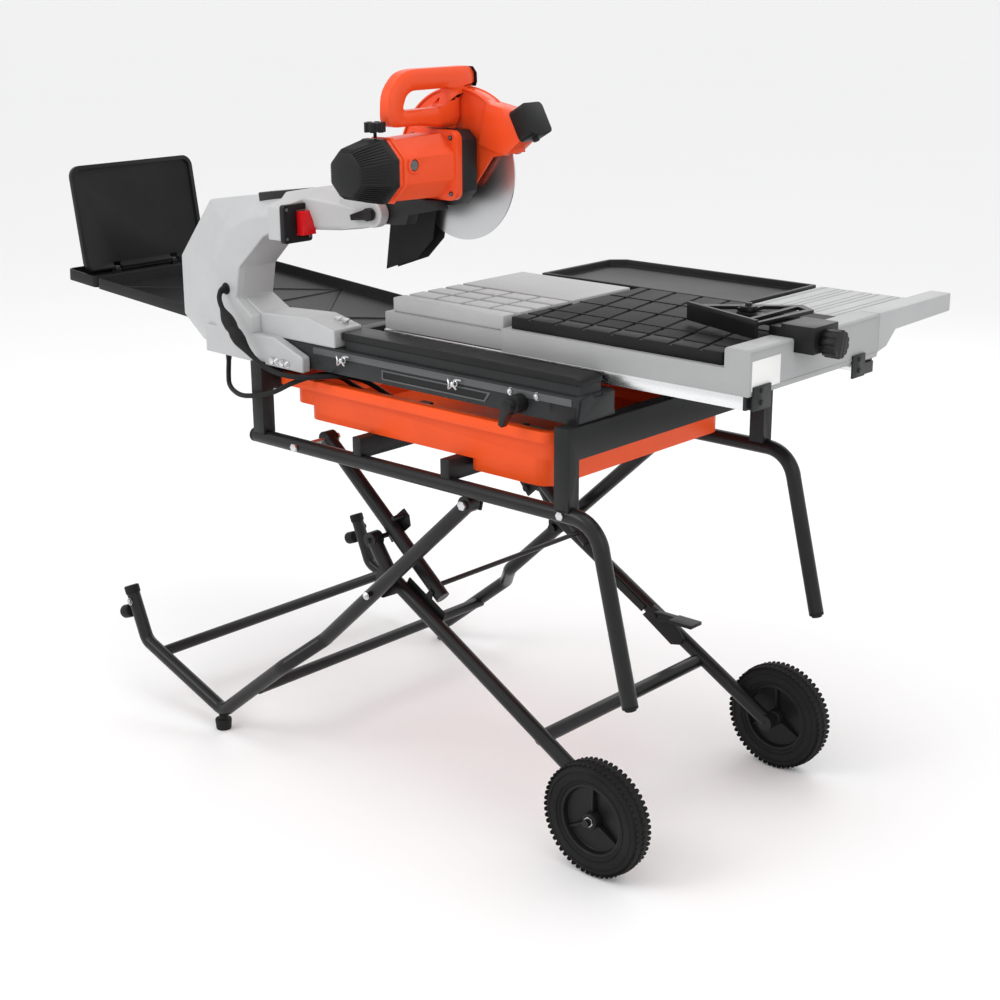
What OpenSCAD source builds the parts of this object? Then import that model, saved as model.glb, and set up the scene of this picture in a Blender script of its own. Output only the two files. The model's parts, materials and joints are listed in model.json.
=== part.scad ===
// Wet tile cutter on a folding wheeled stand, millimetres.
// X runs along the cut towards the operator, Y across the machine away from the arm, Z up.
// Origin: on the floor, under the middle of the stand's two long rails.

/* [Stand] */
// length of the straight part of each long rail
rail_len = 820; // [600:10:1000]
// distance between the centre lines of the two long rails
rail_gap = 592; // [500:4:720]
// height of the rail centre line above the floor
rail_z = 660; // [560:5:760]
// outside diameter of the stand tubes
tube_d = 29; // [22:1:36]
// height the feet and wheels leave between floor and bent foot corner
foot_h = 36; // [24:1:60]
// wheel diameter over the tyre
wheel_d = 218; // [180:2:280]
// tyre width
tyre_w = 46; // [30:1:60]

/* [Saw] */
// height of the frame deck the saw sits on
deck_z = 815; // [760:5:880]
// blade diameter
blade_d = 254; // [180:2:254]
// blade thickness
blade_t = 2.2; // [1.6:0.1:3.2]
// side position of the blade plane
blade_y = -148; // [-180:2:-120]
// width of the sliding table
table_w = 400; // [340:10:480]
// height of the table underside
table_z = 898; // [880:2:920]
// pivot pin diameter of the cutting head
head_pin_d = 14; // [10:1:18]

/* [Fits] */
// radial running clearance of pins and shafts
run = 0.1; // [0.05:0.01:0.2]
// gap between parts that pass each other
gap = 1; // [0.5:0.1:2]

/* [Hidden] */
$fn = 48;

tube_r = tube_d / 2;
// a bend is this much fuller than the straight tube
bend_swell = 0.2;
rail_y = rail_gap / 2;
rail_x0 = 3 - rail_len / 2 - 9;
rail_x1 = rail_x0 + rail_len;
leg_y = rail_y - 14;
wleg_y = leg_y - tube_d - gap;
link_y = wleg_y - tube_d - gap;
low_leg_y = rail_y + 45;
wheel_r = wheel_d / 2;
wheel_y = wleg_y + tube_r + 3 + tyre_w / 2;
// leg pivot under the rail
px = 151;
pz = rail_z - 32;
// link pivot at the rear of the rail
rx = -285;
rz = rail_z;
// scissor pivot, on the line of the foot leg
bend_x = -252;
bend_z = 257;
slope = (pz - bend_z) / (px - bend_x);
sx = -104;
sz = pz - slope * (px - sx);
// wheel leg: upper end, elbow, axle
kx = -132;
kz = rail_z - 170;
ex = -85;
ez = 423;
ax = 464;
az = wheel_r;
// link tube direction
lx = 24;
lz = rail_z - 262;
link_len = norm([lx - rx, lz - rz]);
link_a = atan2(lz - rz, lx - rx);
collar_s = (kx - rx) * cos(link_a) + (kz - rz) * sin(link_a);
k_off = -(kx - rx) * sin(link_a) + (kz - rz) * cos(link_a);
black = [0.1, 0.1, 0.11];
steel = [0.75, 0.76, 0.78];
cast = [0.72, 0.73, 0.74];
orange = [0.95, 0.32, 0.1];
rubber = [0.06, 0.06, 0.06];
plastic = [0.16, 0.16, 0.17];

// ---- helpers ----
// straight round bar between two points
module rod(a, b, r) {
  v = b - a;
  l = norm(v);
  translate(a) rotate([0, acos(v[2] / l), atan2(v[1], v[0])]) cylinder(r = r, h = l);
}

function unit(v) = v / norm(v);

// bent round bar through points, with bend radius br at every inner point
module bent(p, r, br) {
  n = len(p);
  d = [for (i = [0:n - 2]) unit(p[i + 1] - p[i])];
  ang = [for (i = [0:n - 1]) (i == 0 || i == n - 1) ? 0 : acos(d[i - 1] * d[i])];
  t = [for (i = [0:n - 1]) br * tan(ang[i] / 2)];
  // straights run a little way into the slightly fuller bends
  for (i = [0:n - 2])
    rod(p[i] + d[i] * max(0, t[i] - 2), p[i + 1] - d[i] * max(0, t[i + 1] - 2), r);
  for (i = [1:n - 2]) {
    w = unit(cross(d[i - 1], d[i]));
    u = cross(w, d[i - 1]);
    c = p[i] - d[i - 1] * t[i] + u * br;
    multmatrix([[-u[0], d[i - 1][0], w[0], c[0]],
                [-u[1], d[i - 1][1], w[1], c[1]],
                [-u[2], d[i - 1][2], w[2], c[2]]])
      rotate_extrude(angle = ang[i]) translate([br, 0]) circle(r + bend_swell);
  }
}

// box given by its two opposite corners
module box(a, b) {
  translate(a) cube(b - a);
}

// plate outline in X-Z, thick from y0 to y1
module side_plate(p, y0, y1) {
  translate([0, y1, 0]) rotate([90, 0, 0]) linear_extrude(y1 - y0) polygon(p);
}

// rounded rectangle outline, centred
module rrect(w, h, r) {
  square([w - 2 * r, h], center = true);
  square([w, h - 2 * r], center = true);
  for (i = [-1, 1]) for (j = [-1, 1]) translate([i * (w / 2 - r), j * (h / 2 - r)]) circle(r);
}

// round bar along Y
module ybar(x, z, r, y0, y1) {
  translate([x, y0, z]) rotate([-90, 0, 0]) cylinder(r = r, h = y1 - y0);
}

// hexagon bolt head along Y
module ynut(x, z, af, y0, y1) {
  translate([x, y0, z]) rotate([-90, 0, 0]) cylinder(d = af / cos(30), h = y1 - y0, $fn = 6);
}

// both sides of the stand
module both() {
  children();
  mirror([0, 1, 0]) children();
}

// ---- stand, upper frame ----
module stand_rails() color(black) both() {
  difference() {
    rod([rail_x0, rail_y, rail_z], [rail_x1, rail_y, rail_z], tube_r);
    ybar(rx, rz, 5 + run, rail_y - 20, rail_y + 20);
  }
  // hanging plate that carries the foot leg
  difference() {
    side_plate([[px - 24, rail_z - 4], [px + 24, rail_z - 4], [px + 14, pz - 14], [px - 14, pz - 14]],
      leg_y - tube_r - 5, leg_y - tube_r - gap);
    ybar(px, pz, 6 + run, 0, 400);
  }
  box([px - 24, leg_y - tube_r - 5, rail_z - 6], [px + 24, rail_y - 4, rail_z + 2]);
}

// lower end of each bent arm
arm_end = [536, rail_y, 348];
arm_dir = unit(arm_end - [rail_x1 + 54, rail_y, rail_z]);
module front_arms() color(black) both() {
  bent([[rail_x1 + 0.5, rail_y, rail_z], [rail_x1 + 54, rail_y, rail_z], arm_end], tube_r, 62);
}

module tube_caps() color(rubber) both() {
  // stepped end plug of each bent arm, in line with the arm
  rod(arm_end + 0.05 * arm_dir, arm_end + 6 * arm_dir, tube_r);
  rod(arm_end + 5 * arm_dir, arm_end + 10 * arm_dir, tube_r - 4);
  rod([rail_x0 - 8, rail_y, rail_z], [rail_x0, rail_y, rail_z], tube_r);
}

module deck_frame() {
  color([0.2, 0.2, 0.21]) both() difference() {
    for (x = [-410, 375]) box([x, rail_y - 16, rail_z + tube_r - 5], [x + 32, rail_y + 14, deck_z]);
    rod([rail_x0 - 30, rail_y, rail_z], [rail_x1 + 30, rail_y, rail_z], tube_r);
  }
  color([0.22, 0.22, 0.23]) for (x = [-408, 377]) difference() {
    box([x, -rail_y + 16, deck_z - 58], [x + 30, rail_y - 16, deck_z]);
    box([x + 3, -rail_y + 12, deck_z - 55], [x + 27, rail_y - 12, deck_z - 3]);
  }
}

module tub_bearers() color([0.25, 0.25, 0.26])
  for (x = [-118, 112]) difference() {
    box([x - 11, -rail_y - 8, rail_z + 8], [x + 11, rail_y + 8, rail_z + 48]);
    both() rod([x - 20, rail_y, rail_z], [x + 20, rail_y, rail_z], tube_r);
  }

module stand_bolts() color(steel) {
  both() {
    // rear link bolt, running fit in the link eye
    ybar(rx, rz, 5, link_y - tube_r - 6, rail_y + tube_r + 1);
    ynut(rx, rz, 15, rail_y + tube_r + 1, rail_y + tube_r + 7);
    ynut(rx, rz, 15, link_y - tube_r - 10, link_y - tube_r - 4);
    // front leg bolt
    ybar(px, pz, 6, leg_y - tube_r - 10, leg_y + tube_r + 1);
    ynut(px, pz, 16, leg_y + tube_r + 1, leg_y + tube_r + 7);
    ynut(px, pz, 16, leg_y - tube_r - 12, leg_y - tube_r - 5);
    // bolt under each front post
    ynut(391, rail_z + 2, 14, rail_y + tube_r, rail_y + tube_r + 5);
  }
  // bolts that hold the arm's foot and side tongue to the base
  for (x = [-236, -214]) {
    translate([x, -232, 890]) cylinder(r = 5, h = 22);
    translate([x, -232, 906]) cylinder(d = 15, h = 7, $fn = 6);
  }
  for (x = [-352, -322]) ynut(x, 822, 13, -306, -299);
}

// ---- foot frame ----
foot_x = -515;
tail_x = -813;
tail_z = 240;
module foot_tubes() both() difference() {
  union() {
    ybar(px, pz, tube_r + 1.5, leg_y - tube_r + 2, leg_y + tube_r - 2);
    bent([[px, leg_y, pz], [bend_x, leg_y, bend_z], [bend_x - 64, low_leg_y, 198],
        [foot_x, low_leg_y, foot_h + 6], [-771, low_leg_y, 136], [tail_x, low_leg_y, tail_z]], tube_r, 32);
    // scissor pin, fixed in the foot leg, with its bolt head and inner washer
    ybar(sx, sz, 6, wleg_y - 2, leg_y + tube_r + 1);
    ynut(sx, sz, 16, leg_y + tube_r + 0.5, leg_y + tube_r + 7);
    ybar(sx, sz, 9, wleg_y - 3, wleg_y + tube_r - 10);
  }
  ybar(px, pz, 6 + run, 0, 500);
}

module foot_frame() color(black) {
  foot_tubes();
  rod([-398, -low_leg_y, 126], [-398, low_leg_y, 126], 12);
  rod([-726, -low_leg_y, 118], [-726, low_leg_y, 118], 12);
}

module rubber_feet() color(rubber) both() {
  translate([foot_x - 4, low_leg_y, 0]) cylinder(r1 = 16, r2 = 18, h = 24);
  translate([foot_x - 4, low_leg_y, 0]) cylinder(r = 9, h = 40);
}

module tail_bumpers() both() {
  color(rubber) {
    rod([tail_x + 2, low_leg_y, tail_z - 4], [tail_x - 5, low_leg_y, tail_z + 14], tube_r + 2);
    rod([tail_x - 8, low_leg_y, tail_z - 46], [tail_x - 34, low_leg_y, tail_z - 56], 15);
  }
  color(steel) ynut(tail_x + 8, tail_z - 18, 13, low_leg_y + tube_r - 1, low_leg_y + tube_r + 5);
}

// ---- wheel frame ----
module wheel_tubes() both() {
  difference() {
    union() {
      bent([[kx, wleg_y, kz], [ex, wleg_y, ez], [ax, wleg_y, az]], tube_r, 60);
      ybar(kx, kz, tube_r + 1.5, wleg_y - tube_r + 2, wleg_y + tube_r - 2);
      // ear that carries the scissor pivot
      side_plate([[sx - 12, sz - 9], [sx + 8, sz - 13], [sx + 52, sz + 8], [sx + 36, sz + 28],
        [sx - 4, sz + 50], [sx - 14, sz + 12]], wleg_y + tube_r - 9, wleg_y + tube_r);
      ybar(ax, az, tube_r + 1.5, wleg_y - tube_r + 2, wleg_y + tube_r - 2);
    }
    ybar(kx, kz, 5 + run, 0, 500);
    ybar(sx, sz, 6 + run, 0, 500);
  }
  // axle
  ybar(ax, az, 7.5, wleg_y, wheel_y + tyre_w / 2 + 10);
}

module wheel_frame() color(black) {
  wheel_tubes();
  rod([295, -wleg_y, 196], [295, wleg_y, 196], 14);
}

w_a = atan2(az - ez, ax - ex);
// point on the lower part of the wheel leg at distance s from the elbow, raised by h
function wl(s, h) = [ex + s * cos(w_a) - h * sin(w_a), ez + s * sin(w_a) + h * cos(w_a)];
function wq(s0, s1, h0, h1) = [wl(s0, h0), wl(s1, h0), wl(s1, h1), wl(s0, h1)];

module latch_plates() {
  color(plastic) both()
    side_plate([wl(30, 0), wl(140, 0), wl(140, 24), wl(96, 24), wl(92, 40), wl(84, 40), wl(80, 22), wl(30, 22)],
      wleg_y - tube_r - 0.2, wleg_y - tube_r + 4);
  // bracket of the foot pedal, with its pivot pin
  color(plastic) side_plate([wl(290, -16), wl(378, -20), wl(396, -4), wl(396, 12), wl(350, 26), wl(300, 20)],
    wleg_y - tube_r - 3, wleg_y - tube_r + 4);
  color(steel) ybar(pdl[0], pdl[1], 5, wleg_y - tube_r - 20, wleg_y - tube_r - 3);
}

pdl = [wl(322, 16)[0], wl(322, 16)[1]];
module foot_pedal() {
  color(plastic) difference() {
    union() {
      side_plate([[pdl[0] - 9, pdl[1] - 4], [pdl[0] + 8, pdl[1] - 10], [pdl[0] + 92, pdl[1] + 2],
        [pdl[0] + 96, pdl[1] + 10], [pdl[0] + 10, pdl[1] + 10], [pdl[0] - 4, pdl[1] + 8]],
        wleg_y - tube_r - 18, wleg_y - tube_r - 5);
      box([pdl[0] + 52, wleg_y - tube_r - 42, pdl[1] + 5], [pdl[0] + 108, wleg_y - tube_r - 5, pdl[1] + 12]);
    }
    ybar(pdl[0], pdl[1], 5 + run, 0, 400);
  }
}

module release_bar() color([0.13, 0.13, 0.14])
  side_plate([wl(186, -10), wl(286, -10), wl(286, 6), wl(186, 6)],
    wleg_y - tube_r - 6, wleg_y - tube_r - 2);

// ---- links ----
module link_tubes() color(black) both() difference() {
  union() {
    rod([rx, link_y, rz], [lx, link_y, lz], tube_r);
    ybar(rx, rz, tube_r + 1.5, link_y - tube_r + 2, link_y + tube_r - 2);
  }
  ybar(rx, rz, 5 + run, 0, 500);
  ybar(rod_x, rod_z, 5 + run, 0, 500);
}

function lk(s, h) = [rx + s * cos(link_a) - h * sin(link_a), rz + s * sin(link_a) + h * cos(link_a)];
rod_x = lk(link_len - 28, 0)[0];
rod_z = lk(link_len - 28, 0)[1];
module latch_rod() color(steel) ybar(rod_x, rod_z, 5, -link_y - tube_r - 0.4, link_y + tube_r + 0.4);

// guide that keeps the wheel leg's upper end beside the link tube
module slide_collars() both() {
  color(plastic) side_plate([lk(collar_s - 22, k_off - 6), lk(collar_s + 14, k_off - 12), lk(collar_s + 24, 24),
    lk(collar_s + 8, 38), lk(collar_s - 10, 38)], link_y - tube_r - 5, link_y - tube_r - 1);
  color(steel) {
    ybar(kx, kz, 5, link_y - tube_r - 8, wleg_y + tube_r + 3);
    ynut(kx, kz, 14, link_y - tube_r - 11, link_y - tube_r - 5);
    ybar(lk(collar_s, 30)[0], lk(collar_s, 30)[1], 4.5, link_y - tube_r - 8, link_y + tube_r + 0.4);
  }
}

// ---- wheels ----
module tyre(y) difference() {
  translate([ax, y, az]) rotate([90, 0, 0]) rotate_extrude($fn = 96) {
    difference() {
      union() {
        translate([wheel_r - 24, 0]) circle(r = 23);
        translate([wheel_r - 40, -tyre_w / 2]) square([32, tyre_w]);
        translate([wheel_r - 12, -15]) square([12, 30]);
      }
      translate([wheel_r - 60, -tyre_w]) square([20, 2 * tyre_w]);
      translate([wheel_r, -tyre_w]) square([20, 2 * tyre_w]);
    }
  }
}

module hub(y) {
  translate([ax, y, az]) rotate([90, 0, 0]) rotate_extrude($fn = 96) {
    difference() {
      union() {
        translate([wheel_r - 52, -18]) square([12, 36]);
        translate([14, -4]) square([wheel_r - 60, 8]);
        translate([0, -24]) square([20, 48]);
      }
      translate([-1, -30]) square([8.5 + run, 60]);
    }
  }
}

module near_tyre() color(rubber) tyre(-wheel_y);
module far_tyre() color(rubber) tyre(wheel_y);
module near_hub() color(plastic) hub(-wheel_y);
module far_hub() color(plastic) hub(wheel_y);

// ---- saw base ----
base_x0 = -404;
base_x1 = 400;
base_top = deck_z + 48;
roller_r = 16;
roller_x = [-150, 290];
roller_z = table_z - 26 - 1.2 - roller_r;
module base_boxes() color([0.3, 0.3, 0.31]) {
  both() difference() {
    union() {
      side_plate([[base_x0, deck_z], [base_x1, deck_z], [base_x1, base_top - 4], [base_x1 - 6, base_top],
        [base_x0, base_top]], 178, 278);
      box([base_x0 + 220, 206, base_top - 2], [base_x1 - 8, 262, base_top + 16]);
    }
    box([base_x0 + 8, 182, deck_z - 1], [base_x1 - 8, 274, base_top - 4]);
    box([base_x0 + 224, 210, deck_z], [base_x1 - 12, 258, base_top + 12]);
    for (x = roller_x) ybar(x, roller_z, 4 + run, 0, 190);
  }
  // cross ties between the two sides
  for (x = [-370, 52]) box([x, -178, deck_z + 2], [x + 32, 178, deck_z + 34]);
}

module base_end_plates() color([0.5, 0.5, 0.51]) both()
  translate([base_x1, 0, 0]) rotate([90, 0, 90]) linear_extrude(3)
    polygon([[178, deck_z + 3], [278, deck_z + 3], [270, base_top - 6], [244, base_top + 1], [238, base_top - 6],
      [214, base_top - 6], [210, base_top], [190, base_top - 6]]);

module roller_covers() color([0.08, 0.08, 0.09]) both() difference() {
  side_plate([[base_x0 + 212, base_top + 16.2], [base_x1 - 6, base_top + 16.2], [base_x1 - 6, base_top + 26],
    [base_x1 - 18, base_top + 31], [base_x0 + 212, base_top + 31]], 203, 265);
  box([base_x0, 209, base_top], [base_x1 - 12, 259, base_top + 27]);
}

module roller_shaft(x) {
  ybar(x, roller_z, 4, -186, 186);
  both() ybar(x, roller_z, roller_r, 160, 177);
}
module rear_roller() color([0.25, 0.25, 0.26]) roller_shaft(roller_x[0]);
module front_roller() color([0.25, 0.25, 0.26]) roller_shaft(roller_x[1]);

module cable_hooks() color(steel)
  for (x = [-170, 120]) {
    rod([x, -279, 846], [x, -292, 846], 3);
    rod([x, -292, 846], [x - 14, -298, 856], 2.5);
    rod([x, -292, 846], [x - 14, -298, 834], 2.5);
  }

module table_lock() color(plastic) {
  ybar(274, 836, 17, -306, -278.3);
  ybar(274, 836, 11, -318, -306);
  side_plate([[264, 840], [254, 800], [262, 796], [284, 836]], -317, -303);
}

// ---- water tub and pump ----
module tub_solid(g) {
  // the end over the links is shallower, the end under the blade has a sump
  translate([-2.5, 0, rail_z + 76 + g]) linear_extrude(60) rrect(675 - 2 * g, 524 - 2 * g, 30 - g);
  translate([11, 0, rail_z + 48.2 + g]) linear_extrude(60) rrect(622 - 2 * g, 524 - 2 * g, 30 - g);
  translate([224.5, 0, rail_z + 26 + g]) linear_extrude(60) rrect(195 - 2 * g, 524 - 2 * g, 30 - g);
}
module water_tub() color(orange) difference() {
  union() {
    intersection() {
      tub_solid(0);
      box([-500, -400, rail_z], [500, 400, rail_z + 130]);
    }
    translate([-17, 0, rail_z + 110]) linear_extrude(20) rrect(716, 556, 30);
  }
  tub_solid(3.5);
  translate([-200, 150, rail_z + 40]) cylinder(d = 22, h = 20);
}

module drain_plug() color([0.85, 0.28, 0.08]) {
  translate([-200, 150, rail_z + 42.2]) cylinder(d = 21.9, h = 12);
  translate([-200, 150, rail_z + 51.8]) cylinder(d = 30, h = 7);
}

module pump() color(plastic) {
  box([150, -200, rail_z + 29.6], [220, -130, rail_z + 88]);
  translate([185, -165, rail_z + 88]) cylinder(r = 8, h = 12);
}

// ---- arm ----
// plunge pivot of the head
hx = -104;
hz = 1125;
module arm_casting() color(cast) difference() {
  union() {
    // column and beam, thinner towards the outside face
    side_plate([[-702, 860], [-700, 985], [-596, 1110], [-300, 1146], [-150, 1142], [-88, 1148], [-80, 1104],
      [-100, 1098], [-190, 1080], [-330, 1070], [-400, 1044], [-452, 985], [-452, 930], [-404, 905], [-268, 915],
      [-194, 898], [-194, 863.5], [-404, 863.5], [-405, 812], [-640, 812]], -262, -206);
    side_plate([[-660, 880], [-655, 985], [-566, 1098], [-330, 1132], [-330, 1070], [-400, 1044], [-452, 985],
      [-452, 930], [-404, 905], [-268, 912], [-200, 892], [-200, 863.5], [-420, 863.5], [-420, 808], [-590, 808]],
      -286, -262);
    side_plate([[-515, 880], [-512, 995], [-470, 1068], [-356, 1104], [-340, 1074], [-404, 1044], [-456, 985],
      [-456, 930], [-408, 900], [-420, 820], [-498, 840]], -300, -286);
    // side tongue bolted to the base
    side_plate([[-590, 808], [-268, 806], [-268, 838], [-350, 868], [-560, 868]], -300, -278.3);
    // switch boss
    box([-306, -340, 1066], [-270, -262, 1132]);
    // end lug, thickened towards the blade
    ybar(hx, hz, 25, -262, -190);
    side_plate([[-250, 1086], [-244, 1142], [-104, 1150], [-104, 1100]], -262, -190);
  }
  // hollow behind the inner cover
  side_plate([[-690, 874], [-688, 980], [-590, 1100], [-330, 1132], [-330, 1080], [-408, 1054], [-464, 990],
    [-464, 924], [-430, 898], [-430, 822], [-634, 822]], -254, -200);
  ybar(hx, hz, head_pin_d / 2 + run, -500, 0);
  box([hx - 34, -240, 1060], [-20, -212, 1200]);
  // hole for the lead
  ybar(-486, 948, 8, -320, -260);
  // seat on the deck frame
  box([-412.5, -320, 800], [-372, -200, deck_z + 0.2]);
}

module arm_back_cover() color(plastic)
  side_plate([[-698, 862], [-696, 984], [-594, 1106], [-330, 1140], [-330, 1072], [-402, 1046], [-456, 987],
    [-456, 930], [-420, 905], [-420, 816], [-638, 816]], -206, -202);

module switch_box() color([0.08, 0.08, 0.08]) difference() {
  translate([-270, -304, 1099]) rotate([90, 0, 90]) linear_extrude(12) rrect(70, 72, 6);
  box([-275, -308, 1074], [-250, -274, 1124]);
}

module rocker() color([0.75, 0.05, 0.06]) difference() {
  side_plate([[-266, 1080], [-258, 1076], [-240, 1078], [-242, 1100], [-250, 1122], [-266, 1120]], -306, -276);
  ybar(-262, 1099, 2, -330, -200);
}

// ---- cutting head ----
bx = 19;
bz = 1205;
my = -172;
module head_bracket() color([0.2, 0.2, 0.21]) difference() {
  union() {
    side_plate([[hx - 8, hz - 16], [hx + 30, hz - 20], [hx + 66, hz - 16], [hx + 74, hz + 2], [bx + 24, bz - 62],
      [bx + 20, bz - 46.5], [bx - 58.5, bz - 46.5], [hx + 44, hz + 36], [hx - 8, hz + 16]], -239.5, -212.5);
    ybar(hx, hz, 18, -239.5, -212.5);
  }
  ybar(hx, hz, head_pin_d / 2 + run, -500, 0);
}

module pivot_lever() color([0.05, 0.05, 0.05]) {
  ybar(hx, hz, head_pin_d / 2, -264, -188);
  ybar(hx, hz, 12, -274, -264);
  side_plate([[hx + 3, hz + 9], [hx - 4, hz + 10], [hx - 46, hz - 4], [hx - 44, hz - 14], [hx, hz - 10]], -273, -265);
}

module motor_housing() color(orange) difference() {
  union() {
    translate([bx, -222, bz + 16]) rotate([90, 22.5, 0]) cylinder(r1 = 60, r2 = 56, h = 140, $fn = 8);
    translate([bx, -212, bz + 16]) rotate([90, 0, 0]) linear_extrude(16) rrect(118, 122, 16);
    ybar(bx, bz + 16, 50, -385, -362);
  }
  translate([bx + 52, -326, bz + 26]) rotate([0, 90, 0]) cylinder(r = 12, h = 20);
}

module motor_cap() color(plastic) difference() {
  union() {
    translate([bx, -362.3, bz + 16]) rotate([90, 22.5, 0]) cylinder(r1 = 60, r2 = 46, h = 78, $fn = 8);
  }
  ybar(bx, bz + 16, 50.3, -390, -360);
  for (a = [0:20:340]) translate([bx, -441, bz + 16]) rotate([0, a, 0]) translate([22, 0, 0]) box([0, -4, -1.5], [14, 6, 1.5]);
}

module head_handle() color(orange) difference() {
  translate([bx - 17, 0, 0]) rotate([90, 0, 90]) linear_extrude(34)
    polygon([[-345.5, 1300], [-342, 1350], [-318, 1380], [-290, 1388], [-140, 1388], [-126, 1378], [-124, 1353],
      [-163, 1353], [-163, 1283], [-214, 1283], [-250, 1290], [-330, 1290]]);
  translate([bx - 30, 0, 0]) rotate([90, 0, 90]) linear_extrude(60)
    polygon([[-308, 1318], [-296, 1346], [-286, 1352], [-190, 1352], [-206, 1320], [-214, 1316]]);
}

module gearbox() color([0.18, 0.18, 0.19]) difference() {
  union() {
    side_plate([[bx - 56, bz - 34], [bx - 30, bz - 56], [bx + 34, bz - 56], [bx + 58, bz - 30], [bx + 58, bz + 60],
      [bx + 40, bz + 76], [bx - 40, bz + 76], [bx - 56, bz + 60]], -211.7, my);
    ybar(bx, bz, 30, my - 1, blade_y - 14);
    ybar(bx, bz, 12.7, my, blade_y + 9);
    ybar(bx, bz, 22, blade_y - 14, blade_y - blade_t / 2 - 0.15);
  }
}

module stop_knob() color([0.05, 0.05, 0.05]) {
  translate([bx, -366, bz + 71.8]) cylinder(r = 3, h = 14);
  translate([bx, -366, bz + 83]) cylinder(r = 15, h = 15);
  for (a = [0:60:300]) translate([bx, -366, bz + 82]) rotate([0, 0, a]) translate([14, 0, 0]) cylinder(r = 5, h = 17);
}

guard_r = blade_d / 2 + 19;
module guard_disc(r, y0, y1, c) difference() {
  ybar(bx, bz, r, y0, y1);
  side_plate([[bx - 240, bz - 30 + c], [bx - 30, bz - 42 + c], [bx + 42, bz - 24 + c], [bx + 84, bz + 28 + c],
    [bx + 240, bz + 60 + c], [bx + 240, bz - 300], [bx - 240, bz - 300]], y0 - 5, y1 + 5);
}
module guard_nose() side_plate([[bx + 60, bz + 50], [bx + 122, bz + 34], [bx + 158, bz + 62], [bx + 136, bz + 112],
  [bx + 80, bz + 122]], blade_y - 22, blade_y + 20);
module blade_guard() color(orange) difference() {
  union() {
    guard_disc(guard_r, blade_y - 13.7, blade_y + 13, 0);
    guard_nose();
  }
  guard_disc(guard_r - 5, blade_y - 9, blade_y + 9, -3);
  ybar(bx, bz, guard_r - 5, blade_y - 9, blade_y + 9);
  ybar(bx, bz, 30.4, blade_y - 30, blade_y - 5);
}

module laser_module() color(plastic) difference() {
  translate([bx + 158, blade_y - 1, bz + 90]) rotate([0, -29, 0]) {
    translate([-10, 0, 0]) rotate([90, 0, 90]) linear_extrude(34) rrect(54, 58, 9);
    rod([4, 0, -29], [4, 0, -35], 6);
  }
  guard_nose();
  ybar(bx, bz, guard_r + 0.2, -200, -100);
}

module flap(y0, y1) side_plate([[-150, bz - 84], [-168, bz - 200], [-86, bz - 172], [-44, bz - 132], [-28, bz - 44],
  [-100, bz - 36]], y0, y1);
module splash_flaps() color(rubber) difference() {
  union() {
    flap(blade_y - 17, blade_y - 14);
    flap(blade_y + 13.3, blade_y + 16.3);
  }
  ybar(bx, bz, 31, -300, 0);
}

module saw_blade() color(steel) difference() {
  union() {
    ybar(bx, bz, blade_d / 2, blade_y - blade_t / 2, blade_y + blade_t / 2);
    ybar(bx, bz, 22, blade_y + blade_t / 2, blade_y + 7);
  }
  ybar(bx, bz, 12.7 + run / 2, -400, 100);
}

// ---- sliding table ----
tx0 = -142;
tx1 = 690;
tw = table_w / 2;
module table_tray() color([0.74, 0.74, 0.75]) difference() {
  union() {
    box([tx0, -tw + 4, table_z], [160, tw - 4, table_z + 33]);
    box([158, -tw, table_z - 2], [644, tw, table_z + 40]);
    side_plate([[640, table_z - 2], [688, table_z - 2], [690, table_z + 6], [690, table_z + 72], [686, table_z + 75],
      [644, table_z + 75], [640, table_z + 71]], -tw, tw);
  }
  // hollow underneath, with a rib at the step and behind the front wall
  box([tx0 + 5, -tw + 9, table_z - 10], [154, tw - 9, table_z + 28]);
  box([162, -tw + 5, table_z - 10], [634, tw - 5, table_z + 34]);
  box([646, -tw + 6, table_z - 10], [684, tw - 6, table_z + 69]);
}

module table_pads() color([0.8, 0.8, 0.81]) difference() {
  box([tx0 + 12, -tw + 14, table_z + 33], [150, tw - 14, table_z + 60]);
  // grooves along the cut, the first one for the blade, and across it
  for (i = [0:3]) box([tx0, blade_y + 50 * i - 5, table_z + 30], [160, blade_y + 50 * i + 5, table_z + 80]);
  for (x = [-60, 10, 80]) box([x - 4, blade_y - 5, table_z + 42], [x + 4, blade_y + 155, table_z + 80]);
}

module rubber_mat() color(rubber) difference() {
  box([172, -tw + 12, table_z + 40], [628, tw - 12, table_z + 62]);
  box([160, blade_y - 4, table_z + 43], [640, blade_y + 4, table_z + 80]);
  for (i = [0:6]) translate([215 + i * 62, -tw, table_z + 59]) rotate([0, 0, 12]) box([-4, 0, 0], [4, table_w, 10]);
}

module table_rails() color([0.85, 0.86, 0.87]) both() difference() {
  box([tx0 - 6, tw - 34, table_z - 26], [676, tw - 6, table_z - 2.3]);
  box([tx0 - 20, tw - 40, table_z - 17], [700, tw - 30, table_z - 11]);
}

module rail_brackets() {
  color([0.15, 0.15, 0.16]) {
    both() {
      box([676, tw - 62, table_z - 25.5], [682, tw - 4, table_z - 2.3]);
      box([682, tw - 52, table_z - 26], [690.3, tw - 14, table_z - 6]);
    }
    box([690.3, -tw + 8, table_z - 26], [694, -tw + 58, table_z + 14]);
    box([690.3, tw - 88, table_z - 26], [694, tw - 48, table_z + 14]);
  }
  color(steel) for (y = [-tw + 30, tw - 68]) for (z = [table_z - 14, table_z + 6])
    translate([693, y, z]) rotate([0, 90, 0]) cylinder(r = 4.5, h = 4);
}

module far_tray() color([0.12, 0.12, 0.13]) difference() {
  translate([0, 0, table_z + 42]) linear_extrude(18)
    polygon([[-90, tw + 1], [408, tw + 1], [408, 446], [-60, 446], [-90, 420]]);
  translate([0, 0, table_z + 46]) linear_extrude(30)
    polygon([[-82, tw + 9], [400, tw + 9], [400, 438], [-56, 438], [-82, 416]]);
}

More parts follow.
